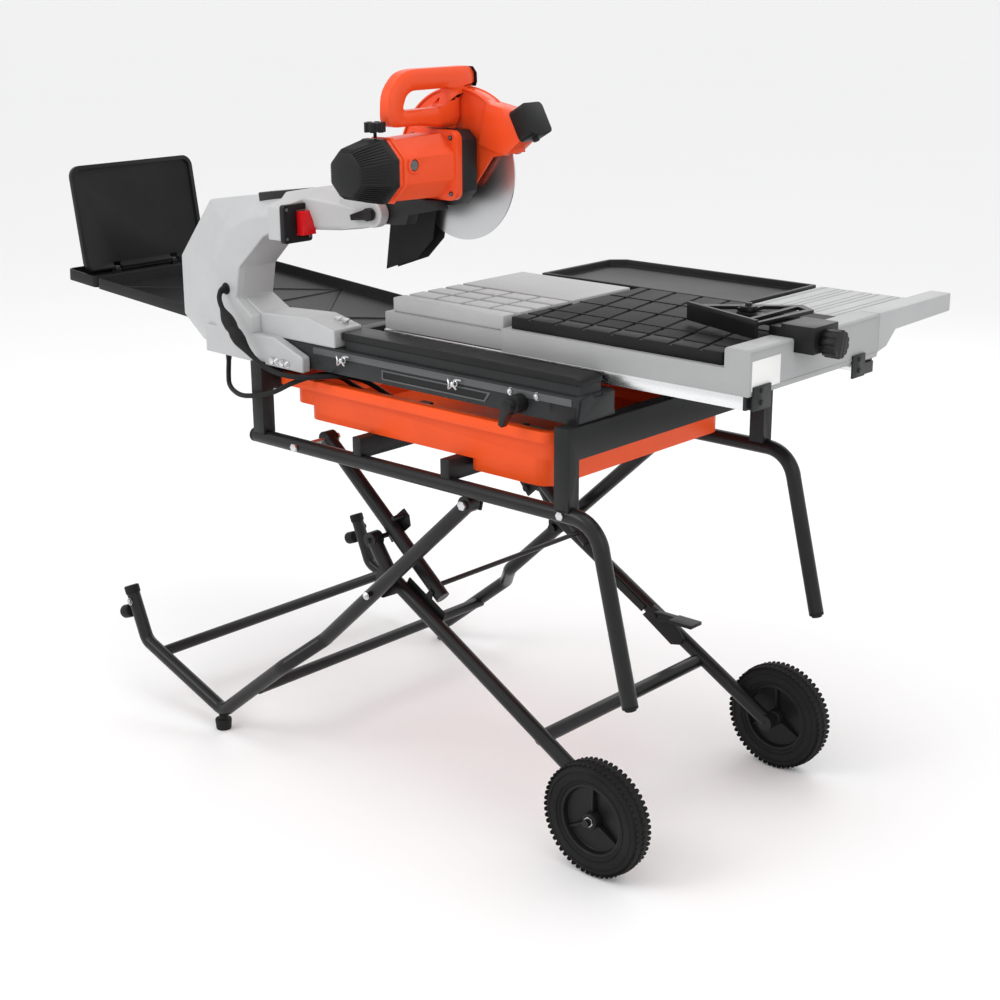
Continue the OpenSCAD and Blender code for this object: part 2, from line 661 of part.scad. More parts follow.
module side_extension() color([0.78, 0.78, 0.79]) {
  difference() {
    box([412, tw + 1, table_z + 42], [690, 458, table_z + 56]);
    for (y = [240:36:440]) box([420, y - 2, table_z + 54], [640, y + 2, table_z + 70]);
  }
  translate([690, 0, 0]) rotate([90, 0, -90]) translate([0, 0, 0]) linear_extrude(46)
    polygon([[-tw - 1, table_z + 6], [-tw - 30, table_z + 12], [-tw - 60, table_z + 38], [-458, table_z + 42],
      [-458, table_z + 76], [-tw - 1, table_z + 76]]);
}

// ---- guide ----
gy = -38;
module guide_clamp() color(plastic) difference() {
  union() {
    box([641, gy - 37, table_z + 75.3], [728, gy + 37, table_z + 91]);
    box([664, gy - 37, table_z + 90], [728, gy + 37, table_z + 97]);
    box([690.4, gy - 37, table_z + 52], [728, gy + 37, table_z + 76]);
    // tongue under the angle guide, with its swivel post
    box([534, gy + 24, table_z + 75.3], [642, gy + 56, table_z + 91]);
    translate([548, gy + 40, table_z + 90]) cylinder(r = 6, h = 16);
  }
  translate([716, gy, table_z + 68]) rotate([0, 90, 0]) cylinder(r = 6 + run, h = 40);
}

module guide_knob() color([0.05, 0.05, 0.05]) {
  translate([717, gy, table_z + 68]) rotate([0, 90, 0]) cylinder(r = 6, h = 16);
  difference() {
    translate([732, gy, table_z + 68]) rotate([0, 90, 0]) cylinder(r = 24, h = 26);
    for (a = [0:30:330]) translate([732, gy, table_z + 68]) rotate([a, 0, 0]) translate([-1, 0, 25])
      rotate([0, 90, 0]) cylinder(r = 3, h = 30);
  }
}

module angle_guide() color([0.06, 0.06, 0.07]) translate([548, gy + 40, table_z + 92]) difference() {
  union() {
    linear_extrude(6) difference() {
      polygon([[-98, -44], [86, -106], [98, 52], [60, 78]]);
      polygon([[-70, -42], [80, -90], [85, 46], [58, 60], [14, 26], [14, -14], [-14, -14], [-14, 0]]);
    }
    // fence plate that the tile leans on
    translate([0, 0, -22]) linear_extrude(32) polygon([[-98, -44], [84, -105.3], [86, -98.3], [-96, -37]]);
    cylinder(r = 15, h = 9);
    linear_extrude(6) polygon([[52, -88], [62, -91], [62, 62], [52, 62]]);
  }
  translate([0, 0, -1]) cylinder(r = 6 + run, h = 20);
}

// ---- rear trays ----
tilt = 4.2;
panel_x = -1164;
panel_z = 882;
module rear_trays() color([0.12, 0.12, 0.13]) {
  translate([-407, 0, 824]) rotate([0, tilt, 0]) difference() {
    union() {
      translate([-352, 52, -18]) linear_extrude(26) rrect(700, 448, 14);
      translate([-758, 52, -18]) linear_extrude(26) rrect(110, 448, 14);
    }
    translate([-352, 52, -14]) linear_extrude(40) rrect(690, 438, 10);
    translate([-758, 52, -14]) linear_extrude(40) rrect(100, 438, 10);
  }
  // hinge blocks of the splash panel
  for (y = [-80, 84]) difference() {
    union() {
      ybar(panel_x, panel_z, 8, y, y + 16);
      box([panel_x - 8, y, 863], [panel_x + 8, y + 16, panel_z]);
    }
    ybar(panel_x, panel_z, 3 + run, y - 5, y + 20);
  }
}

module splash_panel() color([0.14, 0.14, 0.15]) {
  translate([panel_x, 0, panel_z]) rotate([0, -9, 0]) difference() {
    union() {
      translate([0, 10, 122]) rotate([90, 0, 90]) linear_extrude(5) rrect(344, 244, 26);
      translate([2, 10, 122]) rotate([90, 0, 90]) linear_extrude(10) difference() {
        rrect(344, 244, 26);
        rrect(324, 224, 18);
      }
    }
    for (y = [-82, 82]) box([-20, y, -20], [30, y + 20, 18]);
    // clear of the hinge barrel
    box([-20, -300, -20], [30, 300, 4]);
  }
  // hinge pin and barrel
  ybar(panel_x, panel_z, 3, -79, 99);
  ybar(panel_x, panel_z, 6, -61, 81);
}

// ---- leads, swept along their real route ----
// side directions carried along the lead without twisting
function carry(d, i, u) = i >= len(d) ? [] :
  let (w = unit(u - (u * d[i]) * d[i])) concat([w], carry(d, i + 1, w));

module sweep(p, r, n) {
  m = len(p);
  d = [for (i = [0:m - 1]) unit(p[min(i + 1, m - 1)] - p[max(i - 1, 0)])];
  us = carry(d, 0, unit(cross(d[0], [1, 0, 0.2])));
  pts = [for (i = [0:m - 1]) let (u = us[i], v = cross(u, d[i]))
    for (k = [0:n - 1]) p[i] + r * (cos(360 * k / n) * u + sin(360 * k / n) * v)];
  side = [for (i = [0:m - 2]) for (k = [0:n - 1])
    [i * n + k, i * n + (k + 1) % n, (i + 1) * n + (k + 1) % n, (i + 1) * n + k]];
  polyhedron(pts, concat([[for (k = [n - 1:-1:0]) k]], side, [[for (k = [0:n - 1]) (m - 1) * n + k]]));
}

supply_route = [[-560, -240, 806], [-560, -241, 797], [-556, -246, 777], [-541, -260, 759], [-514, -281, 747],
  [-472, -304, 743], [-422, -323, 745], [-372, -328, 754], [-324, -326, 768], [-290, -316, 786], [-268, -300, 797],
  [-254, -276, 803], [-249, -246, 800], [-247, -216, 788], [-245, -190, 770], [-240, -166, 754], [-232, -146, 739],
  [-214, -128, 730], [-190, -116, 727], [-160, -112, 726]];
lead_route = [[-486, -294, 948], [-486, -304, 948], [-482, -318, 943], [-470, -330, 930], [-448, -337, 908],
  [-422, -340, 882], [-394, -341, 856], [-362, -340, 833], [-328, -336, 816], [-292, -330, 808], [-256, -318, 806],
  [-224, -296, 808], [-206, -268, 807], [-196, -238, 801], [-180, -208, 787], [-148, -188, 764], [-98, -176, 742],
  [-40, -170, 728], [30, -166, 722], [90, -165, 718], [149.8, -165, 717]];

module supply_cord() color(rubber) sweep(supply_route, 5, 10);

module supply_plug() color(plastic) {
  translate([-159.1, -112, 726]) rotate([0, 90, 0]) cylinder(r1 = 7, r2 = 11, h = 20);
  box([-142, -128, 714], [-116, -96, 738]);
  for (y = [-120, -105.6]) box([-117, y, 720], [-99, y + 1.6, 727]);
  translate([-117, -112, 733]) rotate([0, 90, 0]) cylinder(r = 2.4, h = 20);
}

module inline_lead() color(rubber) sweep(lead_route, 5, 10);

stand_rails();
front_arms();
tube_caps();
deck_frame();
tub_bearers();
stand_bolts();
foot_frame();
rubber_feet();
tail_bumpers();
wheel_frame();
latch_plates();
foot_pedal();
release_bar();
link_tubes();
latch_rod();
slide_collars();
near_tyre();
near_hub();
far_tyre();
far_hub();
base_boxes();
base_end_plates();
roller_covers();
rear_roller();
front_roller();
cable_hooks();
table_lock();
water_tub();
drain_plug();
pump();
arm_casting();
arm_back_cover();
switch_box();
rocker();
head_bracket();
pivot_lever();
motor_housing();
motor_cap();
head_handle();
gearbox();
stop_knob();
blade_guard();
laser_module();
splash_flaps();
saw_blade();
table_tray();
table_pads();
rubber_mat();
table_rails();
rail_brackets();
far_tray();
side_extension();
guide_clamp();
guide_knob();
angle_guide();
rear_trays();
splash_panel();
supply_cord();
supply_plug();
inline_lead();
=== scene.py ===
"""Looks for the wet tile cutter on its folding stand. Metres, same frame as the CAD model."""

import json
import math

import bmesh
import bpy
from mathutils import Matrix, Vector

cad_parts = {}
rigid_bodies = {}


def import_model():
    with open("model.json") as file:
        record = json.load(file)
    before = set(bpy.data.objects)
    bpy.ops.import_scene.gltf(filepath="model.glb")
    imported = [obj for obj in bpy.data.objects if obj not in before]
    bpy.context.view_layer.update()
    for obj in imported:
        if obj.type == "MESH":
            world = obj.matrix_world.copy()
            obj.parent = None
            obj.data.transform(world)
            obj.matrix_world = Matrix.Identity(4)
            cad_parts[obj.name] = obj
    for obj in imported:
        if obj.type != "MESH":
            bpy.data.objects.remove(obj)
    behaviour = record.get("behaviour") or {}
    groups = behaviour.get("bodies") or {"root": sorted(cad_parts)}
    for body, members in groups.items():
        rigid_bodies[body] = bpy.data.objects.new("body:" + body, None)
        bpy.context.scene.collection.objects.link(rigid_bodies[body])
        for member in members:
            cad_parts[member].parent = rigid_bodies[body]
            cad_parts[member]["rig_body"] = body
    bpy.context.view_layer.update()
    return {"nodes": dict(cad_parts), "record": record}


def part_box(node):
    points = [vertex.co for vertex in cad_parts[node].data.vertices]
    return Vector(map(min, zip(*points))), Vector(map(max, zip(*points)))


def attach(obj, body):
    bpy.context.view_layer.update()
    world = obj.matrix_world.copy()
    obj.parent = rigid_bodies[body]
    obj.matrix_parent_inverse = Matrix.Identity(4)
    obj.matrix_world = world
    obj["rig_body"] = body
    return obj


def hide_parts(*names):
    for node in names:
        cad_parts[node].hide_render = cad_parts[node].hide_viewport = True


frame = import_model()
NODES = frame["nodes"]
SLOT_OF = {s["node"]: s["material_slot"] for s in frame["record"]["subparts"]}
MM = 0.001
PER_METRE = 1000
FLOOR_SIZE = 150
CAMERA_PLACE = (2.193, -2.464, 1.565)
CAMERA_AZIMUTH, CAMERA_ELEVATION, CAMERA_ROLL = 42.02, 17.30, -0.30
CAMERA_LENS = 62.25
CAMERA_REACH = 400
# distance in metres under which doubled points of a CAD mesh are one point
SAME_POINT = 2e-6
# points round a wheel, and rubber blocks in each row of its tread
WHEEL_SIDES, TREAD_BLOCKS = 72, 58
STAND = "stand_and_base"
# middle of the blade, and the height of the motor's axis above it
BLADE_X, BLADE_Y, BLADE_Z = 19, -148, 1205
MOTOR_RISE = 16
LEAD_DIAMETER = 10


def mm(*values):
    """Millimetres to a vector in metres."""
    return Vector(values) * MM


# ---------------------------------------------------------------- camera, floor and light
def camera():
    """Camera three quarters on to the operator end, a little above the table."""
    azimuth, elevation, roll = (math.radians(a) for a in (CAMERA_AZIMUTH, CAMERA_ELEVATION, CAMERA_ROLL))
    back = Vector((math.sin(azimuth) * math.cos(elevation), -math.cos(azimuth) * math.cos(elevation),
                   math.sin(elevation)))
    right = (-back).cross(Vector((0, 0, 1))).normalized()
    up = right.cross(-back)
    right2 = right * math.cos(roll) + up * math.sin(roll)
    up2 = -right * math.sin(roll) + up * math.cos(roll)
    data = bpy.data.cameras.new("camera")
    data.sensor_width = 36
    data.lens = CAMERA_LENS
    data.clip_end = CAMERA_REACH
    cam = bpy.data.objects.new("camera", data)
    turn = Matrix((right2, up2, back)).transposed().to_4x4()
    cam.matrix_world = Matrix.Translation(Vector(CAMERA_PLACE)) @ turn
    bpy.context.scene.collection.objects.link(cam)
    bpy.context.scene.camera = cam


def area_light(name, place, aim, size, power):
    """Round soft light, aimed at a point."""
    data = bpy.data.lights.new(name, "AREA")
    data.shape = "DISK"
    data.size = size
    data.energy = power
    lamp = bpy.data.objects.new(name, data)
    lamp.location = place
    lamp.rotation_euler = (Vector(aim) - Vector(place)).to_track_quat("-Z", "Y").to_euler()
    bpy.context.scene.collection.objects.link(lamp)


def studio():
    """Pale floor, white surroundings and four soft lights."""
    world = bpy.data.worlds.new("studio")
    world.use_nodes = True
    world.node_tree.nodes["Background"].inputs["Color"].default_value = (1, 1, 1, 1)
    world.node_tree.nodes["Background"].inputs["Strength"].default_value = 0.95
    bpy.context.scene.world = world
    bpy.context.scene.view_settings.view_transform = "Standard"
    bm = bmesh.new()
    bmesh.ops.create_grid(bm, x_segments=1, y_segments=1, size=FLOOR_SIZE)
    mesh = bpy.data.meshes.new("floor")
    bm.to_mesh(mesh)
    floor = bpy.data.objects.new("floor", mesh)
    bpy.context.scene.collection.objects.link(floor)
    mesh.materials.append(MATERIALS["floor"])
    area_light("key_light", (-1.6, -3.6, 3.4), (0, 0, 0.7), 2.4, 58)
    area_light("fill_light", (3.4, -0.6, 2.2), (0, 0, 0.8), 2.4, 12)
    area_light("rim_light", (-1.0, 3.4, 3.0), (0, 0, 0.9), 2.4, 22)
    area_light("top_light", (0.2, -0.2, 4.0), (0, 0, 0.5), 3.0, 20)


# ---------------------------------------------------------------- materials
def surface(name, base, rough, metal=0.0, grain=0.0, grain_size=0.002, stretch=(1, 1, 1), vary=0.06,
            rough_vary=0.08, coat=0.0, specular=0.22, patch=0.12, wear=0.0):
    """Principled finish with fine grain as bump, slow colour drift and uneven gloss."""
    mat = bpy.data.materials.new(name)
    mat.use_nodes = True
    tree = mat.node_tree
    shader = tree.nodes["Principled BSDF"]
    shader.inputs["Metallic"].default_value = metal
    shader.inputs["Specular IOR Level"].default_value = specular
    if coat:
        shader.inputs["Coat Weight"].default_value = coat
        shader.inputs["Coat Roughness"].default_value = 0.12
    place = tree.nodes.new("ShaderNodeTexCoord")
    scale = tree.nodes.new("ShaderNodeMapping")
    scale.inputs["Scale"].default_value = stretch
    tree.links.new(place.outputs["Object"], scale.inputs["Vector"])
    fine = tree.nodes.new("ShaderNodeTexNoise")
    fine.inputs["Scale"].default_value = 1 / grain_size
    fine.inputs["Detail"].default_value = 3
    tree.links.new(scale.outputs["Vector"], fine.inputs["Vector"])
    slow = tree.nodes.new("ShaderNodeTexNoise")
    slow.inputs["Scale"].default_value = 1 / patch
    slow.inputs["Detail"].default_value = 4
    slow.inputs["Roughness"].default_value = 0.6
    tree.links.new(place.outputs["Object"], slow.inputs["Vector"])
    drift = tree.nodes.new("ShaderNodeValToRGB")
    low = [max(0, c * (1 - vary) - vary * 0.01) for c in base]
    high = [min(1, c * (1 + vary) + vary * 0.015) for c in base]
    drift.color_ramp.elements[0].position = 0.3
    drift.color_ramp.elements[1].position = 0.7
    drift.color_ramp.elements[0].color = (*low, 1)
    drift.color_ramp.elements[1].color = (*high, 1)
    tree.links.new(slow.outputs["Fac"], drift.inputs["Fac"])
    colour = drift.outputs["Color"]
    if wear:
        scuff = tree.nodes.new("ShaderNodeTexNoise")
        scuff.inputs["Scale"].default_value = 160
        scuff.inputs["Detail"].default_value = 6
        scuff.inputs["Roughness"].default_value = 0.7
        tree.links.new(place.outputs["Object"], scuff.inputs["Vector"])
        gate = tree.nodes.new("ShaderNodeMapRange")
        gate.inputs["From Min"].default_value = 0.66
        gate.inputs["From Max"].default_value = 0.74
        gate.inputs["To Max"].default_value = wear
        tree.links.new(scuff.outputs["Fac"], gate.inputs["Value"])
        mix = tree.nodes.new("ShaderNodeMix")
        mix.data_type = "RGBA"
        mix.inputs["B"].default_value = (*[min(1, c * 1.6 + 0.04) for c in base], 1)
        tree.links.new(gate.outputs["Result"], mix.inputs["Factor"])
        tree.links.new(colour, mix.inputs["A"])
        colour = mix.outputs["Result"]
    tree.links.new(colour, shader.inputs["Base Color"])
    gloss = tree.nodes.new("ShaderNodeMapRange")
    gloss.inputs["To Min"].default_value = max(0.03, rough - rough_vary)
    gloss.inputs["To Max"].default_value = min(1, rough + rough_vary)
    tree.links.new(fine.outputs["Fac"], gloss.inputs["Value"])
    tree.links.new(gloss.outputs["Result"], shader.inputs["Roughness"])
    if grain:
        bump = tree.nodes.new("ShaderNodeBump")
        bump.inputs["Strength"].default_value = 1
        bump.inputs["Distance"].default_value = grain
        tree.links.new(fine.outputs["Fac"], bump.inputs["Height"])
        tree.links.new(bump.outputs["Normal"], shader.inputs["Normal"])
    return mat


MATERIALS = {
    "floor": surface("pale_floor", (0.93, 0.93, 0.935), 0.7, vary=0.004, patch=3.0),
    "frame_paint": surface("black_powder_paint", (0.008, 0.008, 0.009), 0.36, grain=0.00006, grain_size=0.0011,
                           vary=0.15, coat=0.15),
    "deck_paint": surface("dark_satin_paint", (0.012, 0.0125, 0.013), 0.42, grain=0.00006, grain_size=0.0012,
                          vary=0.12),
    "black_rubber": surface("black_rubber", (0.007, 0.007, 0.0075), 0.62, grain=0.00012, grain_size=0.0016,
                            vary=0.2),
    "tyre_rubber": surface("tyre_rubber", (0.009, 0.009, 0.0095), 0.74, grain=0.00018, grain_size=0.002, vary=0.2,
                           wear=0.25),
    "black_plastic": surface("black_moulded_plastic", (0.008, 0.0082, 0.0088), 0.40, grain=0.00005, grain_size=0.0008,
                             vary=0.12),
    "plain_steel": surface("zinc_plated_steel", (0.62, 0.63, 0.64), 0.30, metal=1, grain=0.00003, grain_size=0.0006,
                           vary=0.06),
    "base_paint": surface("base_grey_paint", (0.020, 0.021, 0.022), 0.38, grain=0.00005, grain_size=0.001, vary=0.1),
    "tub_plastic": surface("orange_tub_plastic", (0.82, 0.084, 0.012), 0.38, grain=0.00008, grain_size=0.0016,
                           vary=0.05, rough_vary=0.05),
    "orange_plastic": surface("orange_shell_plastic", (0.80, 0.076, 0.016), 0.32, grain=0.00004, grain_size=0.0007,
                              vary=0.05, coat=0.1, rough_vary=0.05),
    "cast_grey": surface("cast_silver_paint", (0.46, 0.465, 0.47), 0.42, metal=0.12, grain=0.00014,
                         grain_size=0.0024, vary=0.05),
    "gear_grey": surface("dark_cast_paint", (0.018, 0.0185, 0.0195), 0.42, metal=0.2, grain=0.0001, grain_size=0.0018,
                         vary=0.1),
    "table_grey": surface("table_grey_paint", (0.36, 0.363, 0.366), 0.45, grain=0.0001, grain_size=0.0018, vary=0.04),
    "pad_grey": surface("pad_grey_plastic", (0.42, 0.423, 0.427), 0.50, grain=0.0001, grain_size=0.0014, vary=0.04),
    "bright_aluminium": surface("bright_aluminium", (0.78, 0.785, 0.79), 0.26, metal=1, grain=0.00003,
                                grain_size=0.0008, stretch=(0.04, 1, 1), vary=0.03),
    "red_plastic": surface("red_switch_plastic", (0.62, 0.008, 0.012), 0.24, grain=0.00002, grain_size=0.0006,
                           vary=0.05, coat=0.2),
    "blade_steel": surface("ground_blade_steel", (0.60, 0.605, 0.615), 0.30, metal=1, grain_size=0.004,
                           vary=0.02, patch=0.3, rough_vary=0.03),
    "base_light": surface("light_strip_paint", (0.10, 0.102, 0.105), 0.36, metal=0.3, grain=0.00003,
                          grain_size=0.0008),
    "dark_label": surface("dark_label", (0.012, 0.012, 0.013), 0.34, vary=0.08),
    "dark_steel": surface("blackened_steel", (0.16, 0.16, 0.165), 0.3, metal=1, grain=0.00002, grain_size=0.0006),
    "label_white": surface("white_label", (0.80, 0.80, 0.79), 0.35, vary=0.02),
}


# ---------------------------------------------------------------- making pieces
def finish_piece(obj, body, material, replaced=()):
    """Puts a finished piece on its body and material."""
    obj.data.materials.clear()
    obj.data.materials.append(MATERIALS[material])
    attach(obj, body)
    if replaced:
        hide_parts(*replaced)
    return obj


def new_object(name, bm):
    """Scene object from a bmesh, which is freed."""
    mesh = bpy.data.meshes.new(name)
    bm.to_mesh(mesh)
    bm.free()
    obj = bpy.data.objects.new(name, mesh)
    bpy.context.scene.collection.objects.link(obj)
    return obj


def smooth_by_angle(mesh, degrees=32):
    """Smooth faces, with the edges above an angle kept sharp."""
    for polygon in mesh.polygons:
        polygon.use_smooth = True
    mesh.set_sharp_from_angle(angle=math.radians(degrees))


def bake(obj):
    """Turns a piece's modifiers into plain mesh and takes them off."""
    bpy.context.view_layer.update()
    baked = bpy.data.meshes.new_from_object(obj.evaluated_get(bpy.context.evaluated_depsgraph_get()))
    obj.modifiers.clear()
    obj.data = baked


def rounded(obj, width, segments=2, angle=28):
    """Rounds a piece's edges over."""
    if width:
        bevel = obj.modifiers.new("ease", "BEVEL")
        bevel.width = width
        bevel.segments = segments
        bevel.limit_method = "ANGLE"
        bevel.angle_limit = math.radians(angle)
        bevel.use_clamp_overlap = True
        bake(obj)
    smooth_by_angle(obj.data)
    return obj


def eased(node, width, material=None, segments=2, angle=28):
    """A CAD node's shape with its doubled points merged and its edges rounded over."""
    bm = bmesh.new()
    bm.from_mesh(NODES[node].data)
    bmesh.ops.remove_doubles(bm, verts=bm.verts, dist=SAME_POINT)
    bmesh.ops.dissolve_limit(bm, angle_limit=math.radians(0.6), verts=bm.verts, edges=bm.edges)
    obj = rounded(new_object(node + "_part", bm), width, segments, angle)
    slot = SLOT_OF[node]
    return finish_piece(obj, NODES[node]["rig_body"], material or slot, (node,))


class Shape:
    """Collects closed shells, given in millimetres, into one mesh."""

    def __init__(self):
        self.bm = bmesh.new()

    def loft(self, rings, ends=True, closed=False):
        """Shell through rings of points, all with the same count."""
        rows = [[self.bm.verts.new(mm(*p)) for p in ring] for ring in rings]
        count = len(rows[0])
        pairs = list(zip(rows, rows[1:])) + ([(rows[-1], rows[0])] if closed else [])
        faces = []
        for a, b in pairs:
            for i in range(count):
                j = (i + 1) % count
                faces.append(self.bm.faces.new((a[i], a[j], b[j], b[i])))
        if ends and not closed:
            faces.append(self.bm.faces.new(rows[0][::-1]))
            faces.append(self.bm.faces.new(rows[-1]))
        bmesh.ops.recalc_face_normals(self.bm, faces=faces)
        return self

    def prism(self, points, y0, y1):
        """Outline in X and Z, thick along Y."""
        return self.loft([[(x, y, z) for x, z in points] for y in (y0, y1)])

    def block(self, low, high):
        """Box between two corners."""
        x0, y0, z0 = low
        x1, y1, z1 = high
        return self.prism([(x0, z0), (x1, z0), (x1, z1), (x0, z1)], y0, y1)

    def turned(self, centre, axis, profile, sides=40):
        """Solid of (distance along axis, radius) pairs turned about an axis."""
        along = Vector(axis).normalized()
        u = along.orthogonal().normalized()
        v = along.cross(u)
        rings = []
        for s, r in profile:
            rings.append([Vector(centre) + along * s + (u * math.cos(t) + v * math.sin(t)) * max(r, 0.05)
                          for t in (2 * math.pi * k / sides for k in range(sides))])
        return self.loft(rings)

    def tube(self, points, radii, sides=12):
        """Round bar through points; radii is one number or one for each point."""
        points = [Vector(p) for p in points]
        if isinstance(radii, (int, float)):
            radii = [radii] * len(points)
        side = None
        rings = []
        for i, p in enumerate(points):
            way = (points[min(i + 1, len(points) - 1)] - points[max(i - 1, 0)]).normalized()
            side = way.orthogonal() if side is None else side - way * side.dot(way)
            side.normalize()
            other = way.cross(side)
            rings.append([p + (side * math.cos(t) + other * math.sin(t)) * radii[i]
                          for t in (2 * math.pi * k / sides for k in range(sides))])
        return self.loft(rings)

    def done(self, name, width=0.0, segments=2, angle=28):
        """The collected shells as an object, with edges rounded by width in metres."""
        return rounded(new_object(name, self.bm), width, segments, angle)


def repeat_tree():
    """Geometry Nodes group that copies its geometry along a step and about a turn."""
    group = bpy.data.node_groups.new("repeat", "GeometryNodeTree")
    face = group.interface
    face.new_socket("Geometry", in_out="INPUT", socket_type="NodeSocketGeometry")
    face.new_socket("Count", in_out="INPUT", socket_type="NodeSocketInt")
    face.new_socket("Step", in_out="INPUT", socket_type="NodeSocketVector")
    face.new_socket("Turn", in_out="INPUT", socket_type="NodeSocketVector")
    face.new_socket("Material", in_out="INPUT", socket_type="NodeSocketMaterial")
    face.new_socket("Geometry", in_out="OUTPUT", socket_type="NodeSocketGeometry")
    new = group.nodes.new
    put, out = new("NodeGroupInput"), new("NodeGroupOutput")
    line = new("GeometryNodeMeshLine")
    index = new("GeometryNodeInputIndex")
    scale = new("ShaderNodeVectorMath")
    scale.operation = "SCALE"
    euler = new("FunctionNodeEulerToRotation")
    copies = new("GeometryNodeInstanceOnPoints")
    real = new("GeometryNodeRealizeInstances")
    paint = new("GeometryNodeSetMaterial")
    join = group.links.new
    join(put.outputs["Count"], line.inputs["Count"])
    join(put.outputs["Step"], line.inputs["Offset"])
    join(put.outputs["Turn"], scale.inputs[0])
    join(index.outputs[0], scale.inputs["Scale"])
    join(scale.outputs["Vector"], euler.inputs[0])
    join(line.outputs["Mesh"], copies.inputs["Points"])
    join(put.outputs["Geometry"], copies.inputs["Instance"])
    join(euler.outputs[0], copies.inputs["Rotation"])
    join(copies.outputs["Instances"], real.inputs["Geometry"])
    join(real.outputs["Geometry"], paint.inputs["Geometry"])
    join(put.outputs["Material"], paint.inputs["Material"])
    join(paint.outputs["Geometry"], out.inputs["Geometry"])
    return group


REPEAT = repeat_tree()


def repeated(obj, count, step=(0, 0, 0), turn=(0, 0, 0), centre=(0, 0, 0), material="black_plastic"):
    """Copies a piece along a step in millimetres, or about a turn in degrees around a centre."""
    shift = Matrix.Translation(-mm(*centre))
    obj.data.transform(shift)
    modifier = obj.modifiers.new("repeat", "NODES")
    modifier.node_group = REPEAT
    ids = {item.name: item.identifier for item in REPEAT.interface.items_tree if item.in_out == "INPUT"}
    modifier[ids["Count"]] = count
    modifier[ids["Step"]] = mm(*step)
    modifier[ids["Turn"]] = [math.radians(a) for a in turn]
    modifier[ids["Material"]] = MATERIALS[material]
    bake(obj)
    obj.data.transform(shift.inverted())
    return obj


def joined(name, objs):
    """One mesh from several pieces."""
    bm = bmesh.new()
    for obj in objs:
        bm.from_mesh(obj.data)
        bpy.data.objects.remove(obj)
    one = new_object(name, bm)
    smooth_by_angle(one.data)
    return one


def curve_points(route, per=6):
    """Smooth line through route points."""
    pts = [Vector(p) for p in route]
    out = []
    for i in range(len(pts) - 1):
        a, b, c, d = pts[max(i - 1, 0)], pts[i], pts[i + 1], pts[min(i + 2, len(pts) - 1)]
        for k in range(per):
            t = k / per
            out.append(0.5 * ((2 * b) + (c - a) * t + (2 * a - 5 * b + 4 * c - d) * t * t
                              + (3 * b - a - 3 * c + d) * t ** 3))
    return out + [pts[-1]]


def soft_outline(points, radius, per=5):
    """Outline with every corner rounded, in two dimensions."""
    out = []
    for i, p in enumerate(points):
        p, before, after = Vector(p), Vector(points[i - 1]), Vector(points[(i + 1) % len(points)])
        a, b = (before - p), (after - p)
        reach = min(radius, a.length * 0.45, b.length * 0.45)
        a, b = p + a.normalized() * reach, p + b.normalized() * reach
        for k in range(per + 1):
            t = k / per
            out.append(tuple(a * (1 - t) ** 2 + p * 2 * t * (1 - t) + b * t * t))
    return out


def about_y(centre, degrees):
    """Turn about a line along Y through a centre in millimetres."""
    return Matrix.Translation(mm(*centre)) @ Matrix.Rotation(math.radians(degrees), 4, "Y") @ \
        Matrix.Translation(-mm(*centre))


def evenly_spaced(loop, count, start):
    """Closed outline again with count points at even steps, from its point nearest start."""
    pts = [Vector(p) for p in loop]
    first = min(range(len(pts)), key=lambda i: (pts[i] - Vector(start)).length)
    pts = pts[first:] + pts[:first] + [pts[first]]
    total = sum((b - a).length for a, b in zip(pts, pts[1:]))
    out, run, i = [], 0.0, 0
    for k in range(count):
        goal = total * k / count
        while run + (pts[i + 1] - pts[i]).length < goal:
            run += (pts[i + 1] - pts[i]).length
            i += 1
        out.append(pts[i].lerp(pts[i + 1], (goal - run) / max((pts[i + 1] - pts[i]).length, 1e-9)))
    return out


def turning_sense(loop):
    """Twice the signed area of an outline, which shows which way round it runs."""
    return sum(a[0] * b[1] - b[0] * a[1] for a, b in zip(loop, loop[1:] + loop[:1]))


